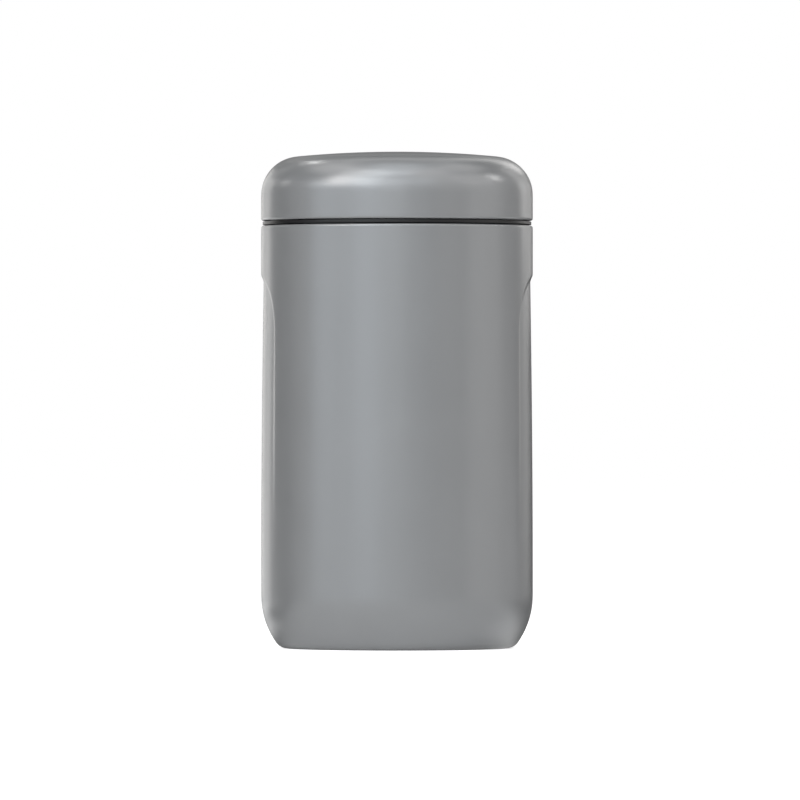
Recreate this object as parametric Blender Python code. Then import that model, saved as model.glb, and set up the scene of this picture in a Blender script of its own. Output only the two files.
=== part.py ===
"""Insulated food canister: a double-walled steel jar with a screw-on domed lid.

Metres, +Z up. The origin is the centre of the foot, on the surface that it stands on. The two
pressed grips face +X and -X. Every piece is a closed solid of its own.
"""

import math

import bmesh
import bpy
from mathutils import Vector

# Fits between pieces
SEAT_GAP = 0.0003
WELD_DISTANCE = 0.000001

# Outside of the jar and the lid
BODY_RADIUS = 0.046
BODY_HEIGHT = 0.143
SHOULDER_EDGE_RADIUS = 0.0008
SEAM_HEIGHT = 0.0017
LID_HEIGHT = 0.0233
DOME_EDGE_RADIUS = 0.013
DOME_CROWN_RADIUS = 0.356
PAINTED_SHEET = 0.0006

# Curved base, and the foot that is rolled in under it
BASE_SWEEP_RADIUS = 0.0276
BASE_SWEEP_LEAN = math.radians(35)
BASE_CORNER_RADIUS = 0.0047
FOOT_WIDTH = 0.0016
FOOT_BEND_RADIUS = 0.001
FOOT_FLANGE_HEIGHT = 0.0045

# Grips pressed into the wall: an arch at the top, fading out downwards
GRIP_TOP_DROP = 0.0154
GRIP_HALF_WIDTH = 0.0209
GRIP_ARCH_RISE = 0.0203
GRIP_DEPTH = 0.00085
GRIP_TOP_EDGE = 0.005
GRIP_SIDE_EDGE = 0.0024

# Neck and its two-start thread
SHOULDER_WIDTH = 0.006
NECK_HEIGHT = 0.012
NECK_FILLET_RADIUS = 0.001
THREAD_STARTS = 2
THREAD_PITCH = 0.005
THREAD_DEPTH = 0.0009
THREAD_ROOT_WIDTH = 0.0022
THREAD_CREST_WIDTH = 0.001
THREAD_BITE = 0.0003
THREAD_SWEEP = math.radians(200)
THREAD_FADE_STEPS = 3
THREAD_END_SHARE = 0.1
THREAD_FIRST_HEIGHT = 0.004
THREAD_RADIAL_GAP = 0.0004
THREAD_SEATED_GAP = 0.0004

# Food cup
CUP_SHEET = 0.0005
VACUUM_WIDTH = 0.0041
CUP_CORNER_RADIUS = 0.008
CUP_FLOOR_HEIGHT = 0.01
CUP_FLARE_DROP = 0.002
CUP_FLARE_HEIGHT = 0.004
CUP_LIP_ROUND = 0.001

# Foil round the food cup
FOIL_THICKNESS = 0.00025
FOIL_END_MARGIN = 0.003

# Plate that closes the outer wall, with the pump-out hole in its dimple
PLATE_SHEET = 0.0006
PLATE_TOP_HEIGHT = 0.006
PLATE_BEND_RADIUS = 0.001
PLATE_FLANGE_CLEARANCE = 0.0016
DIMPLE_RADIUS = 0.006
DIMPLE_RISE = 0.0015
DIMPLE_SLOPE_WIDTH = 0.0015
PUMP_HOLE_RADIUS = 0.001
SEAL_BEAD_RADIUS = 0.003
SEAL_BEAD_HEIGHT = 0.0012
SEAL_STUB_HEIGHT = 0.0005

# Cover pressed into the foot
COVER_SHEET = 0.0005
COVER_CLEARANCE = 0.0012
COVER_BEND_RADIUS = 0.0009
COVER_FLANGE_HEIGHT = 0.0028
COVER_STEP_INSET = 0.0074
COVER_STEP_WIDTH = 0.0016
COVER_STEP_RISE = 0.0008

# Getter under the food cup
GETTER_OFFSET = 0.015
GETTER_HOLDER_RADIUS = 0.005
GETTER_HOLDER_HEIGHT = 0.0026
GETTER_HOLDER_SHEET = 0.0004
GETTER_PELLET_HEIGHT = 0.0016

# Screw cap inside the lid, its seal and its insulation
CAP_WALL = 0.0016
CAP_CORNER_RADIUS = 0.0015
SEAM_INSET = 0.0005
SEAM_EDGE_RADIUS = 0.0003
GASKET_HEIGHT = 0.0016
GASKET_WIDTH = 0.0034
GASKET_PROUD = 0.0006
GASKET_EDGE_RADIUS = 0.0005
LID_EDGE_RADIUS = 0.0008
LID_HEM_WIDTH = 0.0018
FOAM_INSET = 0.004

# How finely the round shapes are cut
COLUMN_ANGLE = math.radians(7.5)
HIDDEN_COLUMN_ANGLE = math.radians(10)
SMALL_COLUMN_ANGLE = math.radians(20)
GRIP_COLUMN_ANGLE = math.radians(3)
ARCH_ROWS = 8
FADE_ROWS = 5
SHARP_ANGLE = math.radians(40)

# Places that follow from the sizes above
FULL_TURN = 2 * math.pi
UP = math.radians(90)
DOWN = math.radians(-90)
INWARD = math.radians(180)
FOOT_RADIUS = (
    BODY_RADIUS
    - BASE_SWEEP_RADIUS * (1 - math.cos(BASE_SWEEP_LEAN))
    - BASE_CORNER_RADIUS * math.cos(BASE_SWEEP_LEAN)
)
BASE_HEIGHT = BASE_SWEEP_RADIUS * math.sin(BASE_SWEEP_LEAN) + BASE_CORNER_RADIUS * (
    1 - math.sin(BASE_SWEEP_LEAN)
)
GRIP_TOP_HEIGHT = BODY_HEIGHT - GRIP_TOP_DROP
FOOT_INNER_RADIUS = FOOT_RADIUS - FOOT_WIDTH
FOOT_FLANGE_RADIUS = FOOT_INNER_RADIUS - FOOT_BEND_RADIUS
PLATE_RADIUS = FOOT_FLANGE_RADIUS - SEAT_GAP
COVER_RADIUS = PLATE_RADIUS - PLATE_SHEET - SEAT_GAP
PLATE_UNDERSIDE = PLATE_TOP_HEIGHT - PLATE_SHEET
COVER_STEP_RADIUS = COVER_RADIUS - COVER_STEP_INSET
NECK_RADIUS = BODY_RADIUS - SHOULDER_WIDTH
NECK_TOP = BODY_HEIGHT + NECK_HEIGHT
THREAD_LEAD = THREAD_STARTS * THREAD_PITCH
THROAT_RADIUS = NECK_RADIUS - PAINTED_SHEET - SEAT_GAP
LIP_UNDERSIDE = NECK_TOP + SEAT_GAP
LIP_TOP = LIP_UNDERSIDE + CUP_SHEET
FLARE_TOP = BODY_HEIGHT - CUP_FLARE_DROP
FLARE_BOTTOM = FLARE_TOP - CUP_FLARE_HEIGHT
CUP_BELLY_RADIUS = BODY_RADIUS - PAINTED_SHEET - VACUUM_WIDTH
CUP_STRAIGHT_BOTTOM = CUP_FLOOR_HEIGHT + CUP_CORNER_RADIUS
LID_BOTTOM = BODY_HEIGHT + SEAM_HEIGHT
LID_TOP = LID_BOTTOM + LID_HEIGHT
DOME_EDGE_CENTRE = BODY_RADIUS - DOME_EDGE_RADIUS
DOME_MEETING_ANGLE = math.acos(DOME_EDGE_CENTRE / (DOME_CROWN_RADIUS - DOME_EDGE_RADIUS))
DOME_CROWN_CENTRE = LID_TOP - DOME_CROWN_RADIUS
DOME_EDGE_HEIGHT = DOME_CROWN_CENTRE + (DOME_CROWN_RADIUS - DOME_EDGE_RADIUS) * math.sin(
    DOME_MEETING_ANGLE
)
CAP_BORE = NECK_RADIUS + THREAD_DEPTH + THREAD_RADIAL_GAP
CAP_BOTTOM = BODY_HEIGHT + SEAT_GAP
CAP_FLANGE_TOP = LID_BOTTOM - SEAT_GAP
GASKET_BOTTOM = LIP_TOP + SEAT_GAP
GASKET_TOP = GASKET_BOTTOM + GASKET_HEIGHT
GASKET_RADIUS = CAP_BORE - SEAT_GAP
CAP_CEILING = GASKET_BOTTOM + GASKET_PROUD
CAP_TOP = GASKET_TOP + SEAT_GAP + CAP_WALL
FOAM_RADIUS = BODY_RADIUS - FOAM_INSET
FOAM_BOTTOM = CAP_TOP + SEAT_GAP


def arc(centre, radius, start, end, steps):
    """Points of an arc in the (radius, height) plane, from one angle to another."""
    points = []
    for step in range(steps + 1):
        angle = start + (end - start) * step / steps
        across = centre[0] + radius * math.cos(angle)
        points.append((across, centre[1] + radius * math.sin(angle)))
    return points


def eased(start, end, steps):
    """Points from one (radius, height) to another on an S-shaped curve, ends left out."""
    points = []
    for step in range(1, steps):
        share = step / steps
        smooth_share = share * share * (3 - 2 * share)
        across = start[0] + (end[0] - start[0]) * smooth_share
        points.append((across, start[1] + (end[1] - start[1]) * share))
    return points


def even_columns(angle):
    """One whole turn in equal columns."""
    return [(FULL_TURN, round(FULL_TURN / angle))]


def grip_columns():
    """A turn that starts at one edge of the +X grip, with fine columns across each grip."""
    half_grip = COLUMN_ANGLE * math.ceil(GRIP_HALF_WIDTH / BODY_RADIUS / COLUMN_ANGLE)
    plain = math.pi - 2 * half_grip
    fine = (2 * half_grip, round(2 * half_grip / GRIP_COLUMN_ANGLE))
    coarse = (plain, round(plain / COLUMN_ANGLE))
    return half_grip, [fine, coarse, fine, coarse]


def turned(outline, columns, start=0.0, centre=Vector((0, 0, 0))):
    """Turn an outline of (radius, height) points into a closed solid about the vertical axis.

    An outline that begins and ends on the axis stays open there; any other is a closed loop.
    """
    mesh = bmesh.new()
    points = []
    for across, height in outline:
        place = Vector((across * math.cos(start), across * math.sin(start), height))
        points.append(mesh.verts.new(centre + place))
    edges = [mesh.edges.new(pair) for pair in zip(points, points[1:])]
    if outline[0][0] > 0:
        edges.append(mesh.edges.new((points[-1], points[0])))
    section = points + edges
    for angle, steps in columns:
        spun = bmesh.ops.spin(
            mesh, geom=section, cent=centre, axis=(0, 0, 1), angle=angle, steps=steps
        )
        section = spun["geom_last"]
    bmesh.ops.remove_doubles(mesh, verts=mesh.verts, dist=WELD_DISTANCE)
    bmesh.ops.recalc_face_normals(mesh, faces=mesh.faces)
    return mesh


def finish_for(name, colour, roughness, metallic):
    """A plain material with the colour and the gloss of one finish."""
    material = bpy.data.materials.new(name)
    material.use_nodes = True
    shader = material.node_tree.nodes["Principled BSDF"]
    shader.inputs["Base Color"].default_value = (*colour, 1)
    shader.inputs["Roughness"].default_value = roughness
    shader.inputs["Metallic"].default_value = metallic
    material.diffuse_color = (*colour, 1)
    return material


def add_frame(name, height):
    """An empty on the jar's axis that carries the pieces of one body."""
    frame = bpy.data.objects.new(name, None)
    frame.location.z = height
    bpy.context.collection.objects.link(frame)
    return frame


def add_piece(name, mesh, material, frame, height):
    """An object whose origin lies on the jar's axis, at the given height above the foot."""
    bmesh.ops.translate(mesh, verts=mesh.verts, vec=(0, 0, -height))
    data = bpy.data.meshes.new(name)
    mesh.to_mesh(data)
    mesh.free()
    data.shade_smooth()
    data.set_sharp_from_angle(angle=SHARP_ANGLE)
    data.materials.append(material)
    piece = bpy.data.objects.new(name, data)
    piece.parent = frame
    piece.location.z = height - frame.location.z
    bpy.context.collection.objects.link(piece)
    return piece


def grip_depth(place):
    """How far the wall is pressed in at a place on it."""
    across = BODY_RADIUS * math.asin(min(1, abs(place.y) / Vector((place.x, place.y)).length))
    arch_centre = GRIP_TOP_HEIGHT - GRIP_ARCH_RISE
    above = max(place.z - arch_centre, 0)
    outer = math.hypot(across / GRIP_HALF_WIDTH, above / GRIP_ARCH_RISE)
    inner = math.hypot(
        across / (GRIP_HALF_WIDTH - GRIP_SIDE_EDGE), above / (GRIP_ARCH_RISE - GRIP_TOP_EDGE)
    )
    full_height = GRIP_TOP_HEIGHT - GRIP_TOP_EDGE
    fade_share = min(max((full_height - place.z) / (full_height - BASE_HEIGHT), 0), 1)
    depth = GRIP_DEPTH * (1 - fade_share) ** 2
    if outer >= 1:
        return 0
    if inner <= 1:
        return depth
    edge_share = (1 - outer) / ((1 - outer) + (inner - 1))
    return depth * edge_share * edge_share * (3 - 2 * edge_share)


def press_grips(mesh):
    """Press the two grips into the straight wall, both faces of the sheet alike."""
    for vertex in mesh.verts:
        if BASE_HEIGHT < vertex.co.z < GRIP_TOP_HEIGHT:
            flat = Vector((vertex.co.x, vertex.co.y, 0))
            vertex.co -= flat.normalized() * grip_depth(vertex.co)


def wall_heights(arch_rows, fade_rows):
    """Heights of the rows across the grips, from the top of the arch to the curved base."""
    arch_centre = GRIP_TOP_HEIGHT - GRIP_ARCH_RISE
    heights = [GRIP_TOP_HEIGHT - GRIP_ARCH_RISE * row / arch_rows for row in range(arch_rows)]
    for row in range(fade_rows):
        heights.append(arch_centre - (arch_centre - BASE_HEIGHT) * row / fade_rows)
    return heights


def shell_outline():
    """Section of the painted outer wall, down its outside and back up its inside."""
    fillet_centre = (NECK_RADIUS + NECK_FILLET_RADIUS, BODY_HEIGHT + NECK_FILLET_RADIUS)
    edge_centre = (BODY_RADIUS - SHOULDER_EDGE_RADIUS, BODY_HEIGHT - SHOULDER_EDGE_RADIUS)
    sweep_centre = (BODY_RADIUS - BASE_SWEEP_RADIUS, BASE_HEIGHT)
    corner_centre = (FOOT_RADIUS, BASE_CORNER_RADIUS)
    bend_centre = (FOOT_INNER_RADIUS, FOOT_BEND_RADIUS)
    inner_radius = BODY_RADIUS - PAINTED_SHEET

    outline = [(NECK_RADIUS, NECK_TOP)]
    outline += arc(fillet_centre, NECK_FILLET_RADIUS, INWARD, INWARD + UP, 2)
    outline += arc(edge_centre, SHOULDER_EDGE_RADIUS, UP, 0, 3)
    outline += [(BODY_RADIUS, height) for height in wall_heights(ARCH_ROWS, FADE_ROWS)]
    outline += arc(sweep_centre, BASE_SWEEP_RADIUS, 0, -BASE_SWEEP_LEAN, 4)
    outline += arc(corner_centre, BASE_CORNER_RADIUS, -BASE_SWEEP_LEAN, DOWN, 3)[1:]
    outline += arc(bend_centre, FOOT_BEND_RADIUS, DOWN, -INWARD, 2)
    outline.append((FOOT_FLANGE_RADIUS, FOOT_FLANGE_HEIGHT))

    outline.append((FOOT_FLANGE_RADIUS + PAINTED_SHEET, FOOT_FLANGE_HEIGHT))
    outline += arc(bend_centre, FOOT_BEND_RADIUS - PAINTED_SHEET, -INWARD, DOWN, 1)
    outline += arc(corner_centre, BASE_CORNER_RADIUS - PAINTED_SHEET, DOWN, -BASE_SWEEP_LEAN, 2)
    outline += arc(sweep_centre, BASE_SWEEP_RADIUS - PAINTED_SHEET, -BASE_SWEEP_LEAN, 0, 3)[1:]
    inner_heights = wall_heights(ARCH_ROWS // 2, FADE_ROWS - 1)
    outline += [(inner_radius, height) for height in reversed(inner_heights)]
    outline.append((inner_radius, BODY_HEIGHT - PAINTED_SHEET))
    outline += arc(
        fillet_centre, NECK_FILLET_RADIUS + PAINTED_SHEET, INWARD + UP, INWARD, 2
    )
    outline.append((NECK_RADIUS - PAINTED_SHEET, NECK_TOP))
    return outline


def add_thread_ridges(mesh, root_radius, crest_radius, first_height):
    """Add one ridge for each thread start, climbing anticlockwise and fading out at its ends."""
    steps = round(THREAD_SWEEP / COLUMN_ANGLE)
    for start in range(THREAD_STARTS):
        last_ring = None
        for step in range(steps + 1):
            angle = FULL_TURN * start / THREAD_STARTS + THREAD_SWEEP * step / steps
            height = first_height + THREAD_LEAD * THREAD_SWEEP * step / steps / FULL_TURN
            fade_share = min(1, step / THREAD_FADE_STEPS, (steps - step) / THREAD_FADE_STEPS)
            rise_share = THREAD_END_SHARE + (1 - THREAD_END_SHARE) * fade_share
            crest = root_radius + (crest_radius - root_radius) * rise_share
            half_root = THREAD_ROOT_WIDTH / 2
            half_crest = half_root + (THREAD_CREST_WIDTH / 2 - half_root) * rise_share
            section = (
                (root_radius, -half_root),
                (crest, -half_crest),
                (crest, half_crest),
                (root_radius, half_root),
            )
            ring = []
            for across, offset in section:
                place = (across * math.cos(angle), across * math.sin(angle), height + offset)
                ring.append(mesh.verts.new(place))
            if last_ring is None:
                mesh.faces.new(ring)
            else:
                for side in range(len(ring)):
                    after = (side + 1) % len(ring)
                    mesh.faces.new((last_ring[side], last_ring[after], ring[after], ring[side]))
            last_ring = ring
        mesh.faces.new(last_ring)
    bmesh.ops.recalc_face_normals(mesh, faces=mesh.faces)


def join_thread(piece, frame, material, root_radius, crest_radius, first_height):
    """Unite a piece with its thread ridges, which stay hidden as the shape that is added."""
    mesh = bmesh.new()
    add_thread_ridges(mesh, root_radius, crest_radius, first_height)
    ridges = add_piece(piece.name + "_thread", mesh, material, frame, first_height)
    ridges.hide_render = True
    ridges.display_type = "WIRE"
    union = piece.modifiers.new("thread", "BOOLEAN")
    union.operation = "UNION"
    union.object = ridges


def add_outer_shell(frame, material):
    """Painted wall with its grips, curved base, rolled foot, shoulder and threaded neck."""
    half_grip, columns = grip_columns()
    mesh = turned(shell_outline(), columns, start=-half_grip)
    press_grips(mesh)
    shell = add_piece("outer_shell", mesh, material, frame, 0)
    join_thread(
        shell,
        frame,
        material,
        NECK_RADIUS - THREAD_BITE,
        NECK_RADIUS + THREAD_DEPTH,
        BODY_HEIGHT + THREAD_FIRST_HEIGHT,
    )


def add_inner_cup(frame, material):
    """Bare steel food cup that hangs by its lip on the end of the neck."""
    corner_centre = (CUP_BELLY_RADIUS - CUP_CORNER_RADIUS, CUP_STRAIGHT_BOTTOM)
    inner_throat = THROAT_RADIUS - CUP_SHEET
    inner_belly = CUP_BELLY_RADIUS - CUP_SHEET
    lip_centre = (inner_throat + CUP_LIP_ROUND, LIP_TOP - CUP_LIP_ROUND)

    outline = [(0, CUP_FLOOR_HEIGHT)]
    outline += arc(corner_centre, CUP_CORNER_RADIUS, DOWN, 0, 4)
    outline.append((CUP_BELLY_RADIUS, FLARE_BOTTOM))
    outline += eased((CUP_BELLY_RADIUS, FLARE_BOTTOM), (THROAT_RADIUS, FLARE_TOP), 4)
    outline.append((THROAT_RADIUS, FLARE_TOP))
    outline.append((THROAT_RADIUS, LIP_UNDERSIDE))
    outline.append((NECK_RADIUS, LIP_UNDERSIDE))
    outline.append((NECK_RADIUS, LIP_TOP))
    outline += arc(lip_centre, CUP_LIP_ROUND, UP, INWARD, 2)
    outline.append((inner_throat, FLARE_TOP))
    outline += eased((inner_throat, FLARE_TOP), (inner_belly, FLARE_BOTTOM), 4)
    outline.append((inner_belly, FLARE_BOTTOM))
    outline += arc(corner_centre, CUP_CORNER_RADIUS - CUP_SHEET, 0, DOWN, 4)
    outline.append((0, CUP_FLOOR_HEIGHT + CUP_SHEET))
    mesh = turned(outline, even_columns(COLUMN_ANGLE))
    add_piece("inner_cup", mesh, material, frame, CUP_FLOOR_HEIGHT)


def add_heat_shield(frame, material):
    """Foil sleeve round the straight wall of the food cup."""
    inner = CUP_BELLY_RADIUS + SEAT_GAP
    bottom = CUP_STRAIGHT_BOTTOM + FOIL_END_MARGIN
    top = FLARE_BOTTOM - FOIL_END_MARGIN
    outline = [
        (inner + FOIL_THICKNESS, top),
        (inner + FOIL_THICKNESS, bottom),
        (inner, bottom),
        (inner, top),
    ]
    add_piece("heat_shield", turned(outline, even_columns(COLUMN_ANGLE)), material, frame, bottom)


def add_outer_bottom(frame, material):
    """Plate pressed into the foot, flange down, with a raised dimple round the pump-out hole."""
    bend_centre = (PLATE_RADIUS - PLATE_BEND_RADIUS, PLATE_TOP_HEIGHT - PLATE_BEND_RADIUS)
    dimple_flat = DIMPLE_RADIUS - DIMPLE_SLOPE_WIDTH
    flange_inner = PLATE_RADIUS - PLATE_SHEET

    outline = [
        (PUMP_HOLE_RADIUS, PLATE_TOP_HEIGHT + DIMPLE_RISE),
        (dimple_flat, PLATE_TOP_HEIGHT + DIMPLE_RISE),
        (DIMPLE_RADIUS, PLATE_TOP_HEIGHT),
    ]
    outline += arc(bend_centre, PLATE_BEND_RADIUS, UP, 0, 2)
    outline.append((PLATE_RADIUS, PLATE_FLANGE_CLEARANCE))
    outline.append((flange_inner, PLATE_FLANGE_CLEARANCE))
    outline += arc(bend_centre, PLATE_BEND_RADIUS - PLATE_SHEET, 0, UP, 1)
    outline += [
        (DIMPLE_RADIUS, PLATE_UNDERSIDE),
        (dimple_flat, PLATE_UNDERSIDE + DIMPLE_RISE),
        (PUMP_HOLE_RADIUS, PLATE_UNDERSIDE + DIMPLE_RISE),
    ]
    mesh = turned(outline, even_columns(HIDDEN_COLUMN_ANGLE))
    add_piece("outer_bottom", mesh, material, frame, PLATE_UNDERSIDE)


def add_vacuum_seal(frame, material):
    """Bead in the dimple, with a stub that fills the pump-out hole."""
    bead_top = PLATE_UNDERSIDE + DIMPLE_RISE - SEAT_GAP
    stub_radius = PUMP_HOLE_RADIUS - SEAT_GAP
    bead_bottom = bead_top - SEAL_BEAD_HEIGHT
    outline = [
        (0, bead_top + SEAL_STUB_HEIGHT),
        (stub_radius, bead_top + SEAL_STUB_HEIGHT),
        (stub_radius, bead_top),
        (SEAL_BEAD_RADIUS, bead_top),
        (SEAL_BEAD_RADIUS, bead_top - SEAL_BEAD_HEIGHT / 3),
        (SEAL_BEAD_RADIUS * 2 / 3, bead_bottom + SEAL_BEAD_HEIGHT / 8),
        (0, bead_bottom),
    ]
    mesh = turned(outline, even_columns(SMALL_COLUMN_ANGLE))
    add_piece("vacuum_seal", mesh, material, frame, bead_top)


def add_base_cover(frame, material):
    """Thin dish pressed into the plate's flange, with a raised round step in its middle."""
    bend_centre = (COVER_RADIUS - COVER_BEND_RADIUS, COVER_CLEARANCE + COVER_BEND_RADIUS)
    flange_top = COVER_CLEARANCE + COVER_FLANGE_HEIGHT
    step_inner = COVER_STEP_RADIUS - COVER_STEP_WIDTH
    step_foot = (COVER_STEP_RADIUS, COVER_CLEARANCE)
    step_head = (step_inner, COVER_CLEARANCE + COVER_STEP_RISE)

    outline = [(0, step_head[1]), step_head, step_foot]
    outline += arc(bend_centre, COVER_BEND_RADIUS, DOWN, 0, 2)
    outline.append((COVER_RADIUS, flange_top))
    outline.append((COVER_RADIUS - COVER_SHEET, flange_top))
    outline += arc(bend_centre, COVER_BEND_RADIUS - COVER_SHEET, 0, DOWN, 1)
    outline += [
        (step_foot[0], step_foot[1] + COVER_SHEET),
        (step_head[0], step_head[1] + COVER_SHEET),
        (0, step_head[1] + COVER_SHEET),
    ]
    mesh = turned(outline, even_columns(HIDDEN_COLUMN_ANGLE))
    add_piece("base_cover", mesh, material, frame, COVER_CLEARANCE)


def add_getter(frame, holder_material, pellet_material):
    """Small cup fixed under the food cup, open downwards, and the pellet that it holds."""
    centre = Vector((GETTER_OFFSET, 0, 0))
    holder_top = CUP_FLOOR_HEIGHT - SEAT_GAP
    holder_bottom = holder_top - GETTER_HOLDER_HEIGHT
    holder_inner = GETTER_HOLDER_RADIUS - GETTER_HOLDER_SHEET
    ceiling = holder_top - GETTER_HOLDER_SHEET
    columns = even_columns(SMALL_COLUMN_ANGLE)
    holder_outline = [
        (0, holder_top),
        (GETTER_HOLDER_RADIUS, holder_top),
        (GETTER_HOLDER_RADIUS, holder_bottom),
        (holder_inner, holder_bottom),
        (holder_inner, ceiling),
        (0, ceiling),
    ]
    holder = turned(holder_outline, columns, centre=centre)
    add_piece("getter_holder", holder, holder_material, frame, holder_bottom)

    pellet_radius = holder_inner - SEAT_GAP
    pellet_top = ceiling - SEAT_GAP
    pellet_outline = [
        (0, pellet_top),
        (pellet_radius, pellet_top),
        (pellet_radius, pellet_top - GETTER_PELLET_HEIGHT),
        (0, pellet_top - GETTER_PELLET_HEIGHT),
    ]
    pellet = turned(pellet_outline, columns, centre=centre)
    add_piece("getter_pellet", pellet, pellet_material, frame, pellet_top)


def add_lid_gasket(frame, material):
    """Soft ring in the cap's groove that presses on the cup's lip."""
    inner = GASKET_RADIUS - GASKET_WIDTH
    low = GASKET_BOTTOM + GASKET_EDGE_RADIUS
    outline = [(inner, GASKET_TOP), (GASKET_RADIUS, GASKET_TOP)]
    outline += arc((GASKET_RADIUS - GASKET_EDGE_RADIUS, low), GASKET_EDGE_RADIUS, 0, DOWN, 2)
    outline += arc((inner + GASKET_EDGE_RADIUS, low), GASKET_EDGE_RADIUS, DOWN, -INWARD, 2)
    mesh = turned(outline, even_columns(COLUMN_ANGLE))
    add_piece("lid_gasket", mesh, material, frame, GASKET_BOTTOM)


def add_lid_cap(frame, material):
    """Threaded plastic cap inside the lid; its flange shows as the ring in the seam."""
    outer = CAP_BORE + CAP_WALL
    flange = BODY_RADIUS - SEAM_INSET
    corner_centre = (outer - CAP_CORNER_RADIUS, CAP_TOP - CAP_CORNER_RADIUS)
    upper_edge = (flange - SEAM_EDGE_RADIUS, CAP_FLANGE_TOP - SEAM_EDGE_RADIUS)
    lower_edge = (flange - SEAM_EDGE_RADIUS, CAP_BOTTOM + SEAM_EDGE_RADIUS)
    groove_inner = GASKET_RADIUS - GASKET_WIDTH - SEAT_GAP
    groove_top = GASKET_TOP + SEAT_GAP

    outline = [(0, CAP_TOP)]
    outline += arc(corner_centre, CAP_CORNER_RADIUS, UP, 0, 2)
    outline.append((outer, CAP_FLANGE_TOP))
    outline += arc(upper_edge, SEAM_EDGE_RADIUS, UP, 0, 1)
    outline += arc(lower_edge, SEAM_EDGE_RADIUS, 0, DOWN, 1)
    outline += [
        (CAP_BORE, CAP_BOTTOM),
        (CAP_BORE, groove_top),
        (groove_inner, groove_top),
        (groove_inner, CAP_CEILING),
        (0, CAP_CEILING),
    ]
    cap = add_piece(
        "lid_cap", turned(outline, even_columns(COLUMN_ANGLE)), material, frame, LID_BOTTOM
    )
    flank_slope = (THREAD_ROOT_WIDTH - THREAD_CREST_WIDTH) / 2 / THREAD_DEPTH
    drop = THREAD_ROOT_WIDTH - flank_slope * (CAP_BORE - NECK_RADIUS) + THREAD_SEATED_GAP
    join_thread(
        cap,
        frame,
        material,
        CAP_BORE + THREAD_BITE,
        NECK_RADIUS + THREAD_RADIAL_GAP,
        BODY_HEIGHT + THREAD_FIRST_HEIGHT - drop,
    )


def add_lid_foam(frame, material):
    """Foam puck between the cap and the dome, its top following the dome's inside."""
    inset = PAINTED_SHEET + SEAT_GAP
    edge_radius = DOME_EDGE_RADIUS - inset
    side_angle = math.acos((FOAM_RADIUS - DOME_EDGE_CENTRE) / edge_radius)
    edge_centre = (DOME_EDGE_CENTRE, DOME_EDGE_HEIGHT)
    crown_centre = (0, DOME_CROWN_CENTRE)
    outline = [(0, FOAM_BOTTOM), (FOAM_RADIUS, FOAM_BOTTOM)]
    outline += arc(edge_centre, edge_radius, side_angle, DOME_MEETING_ANGLE, 3)
    outline += arc(crown_centre, DOME_CROWN_RADIUS - inset, DOME_MEETING_ANGLE, UP, 3)[1:-1]
    outline.append((0, LID_TOP - inset))
    mesh = turned(outline, even_columns(HIDDEN_COLUMN_ANGLE))
    add_piece("lid_insulation", mesh, material, frame, FOAM_BOTTOM)


def add_lid_shell(frame, material):
    """Painted domed skin whose lower edge is hemmed in over the cap's flange."""
    edge_centre = (DOME_EDGE_CENTRE, DOME_EDGE_HEIGHT)
    crown_centre = (0, DOME_CROWN_CENTRE)
    rim_centre = (BODY_RADIUS - LID_EDGE_RADIUS, LID_BOTTOM + LID_EDGE_RADIUS)
    inner_radius = BODY_RADIUS - PAINTED_SHEET
    hem_radius = BODY_RADIUS - LID_HEM_WIDTH

    outline = [(0, LID_TOP)]
    outline += arc(crown_centre, DOME_CROWN_RADIUS, UP, DOME_MEETING_ANGLE, 3)[1:]
    outline += arc(edge_centre, DOME_EDGE_RADIUS, DOME_MEETING_ANGLE, 0, 6)[1:]
    outline += arc(rim_centre, LID_EDGE_RADIUS, 0, DOWN, 2)
    outline += [
        (hem_radius, LID_BOTTOM),
        (hem_radius, LID_BOTTOM + PAINTED_SHEET),
        (inner_radius, LID_BOTTOM + PAINTED_SHEET),
    ]
    outline += arc(edge_centre, DOME_EDGE_RADIUS - PAINTED_SHEET, 0, DOME_MEETING_ANGLE, 5)
    inner_crown = DOME_CROWN_RADIUS - PAINTED_SHEET
    outline += arc(crown_centre, inner_crown, DOME_MEETING_ANGLE, UP, 3)[1:-1]
    outline.append((0, LID_TOP - PAINTED_SHEET))
    mesh = turned(outline, even_columns(COLUMN_ANGLE))
    add_piece("lid_shell", mesh, material, frame, LID_BOTTOM)


def clear_scene():
    """Remove whatever objects the scene holds."""
    for old in list(bpy.data.objects):
        bpy.data.objects.remove(old, do_unlink=True)


def main():
    """Build every piece in its place."""
    clear_scene()
    paint = finish_for("grey_paint", (0.27, 0.275, 0.285), 0.42, 0.0)
    steel = finish_for("bare_steel", (0.62, 0.61, 0.59), 0.3, 1.0)
    black_plastic = finish_for("black_plastic", (0.015, 0.015, 0.016), 0.5, 0.0)
    silicone = finish_for("grey_silicone", (0.3, 0.3, 0.3), 0.6, 0.0)
    foam = finish_for("white_foam", (0.8, 0.79, 0.75), 0.95, 0.0)
    foil = finish_for("bright_foil", (0.85, 0.85, 0.86), 0.2, 1.0)
    sinter = finish_for("dark_sinter", (0.12, 0.11, 0.1), 0.8, 0.4)
    solder = finish_for("seal_bead", (0.35, 0.33, 0.28), 0.35, 0.2)

    jar = add_frame("jar_frame", 0)
    lid = add_frame("lid_frame", LID_BOTTOM)
    add_outer_shell(jar, paint)
    add_inner_cup(jar, steel)
    add_heat_shield(jar, foil)
    add_outer_bottom(jar, steel)
    add_vacuum_seal(jar, solder)
    add_base_cover(jar, steel)
    add_getter(jar, steel, sinter)
    add_lid_gasket(lid, silicone)
    add_lid_cap(lid, black_plastic)
    add_lid_foam(lid, foam)
    add_lid_shell(lid, paint)


main()
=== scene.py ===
"""Insulated food canister: its finished pieces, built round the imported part, and the studio.

Metres, +Z up. The camera looks along +Y, and the two pressed grips face +X and -X.
"""

import math

import bmesh
import bpy
from mathutils import Euler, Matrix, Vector, noise


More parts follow.
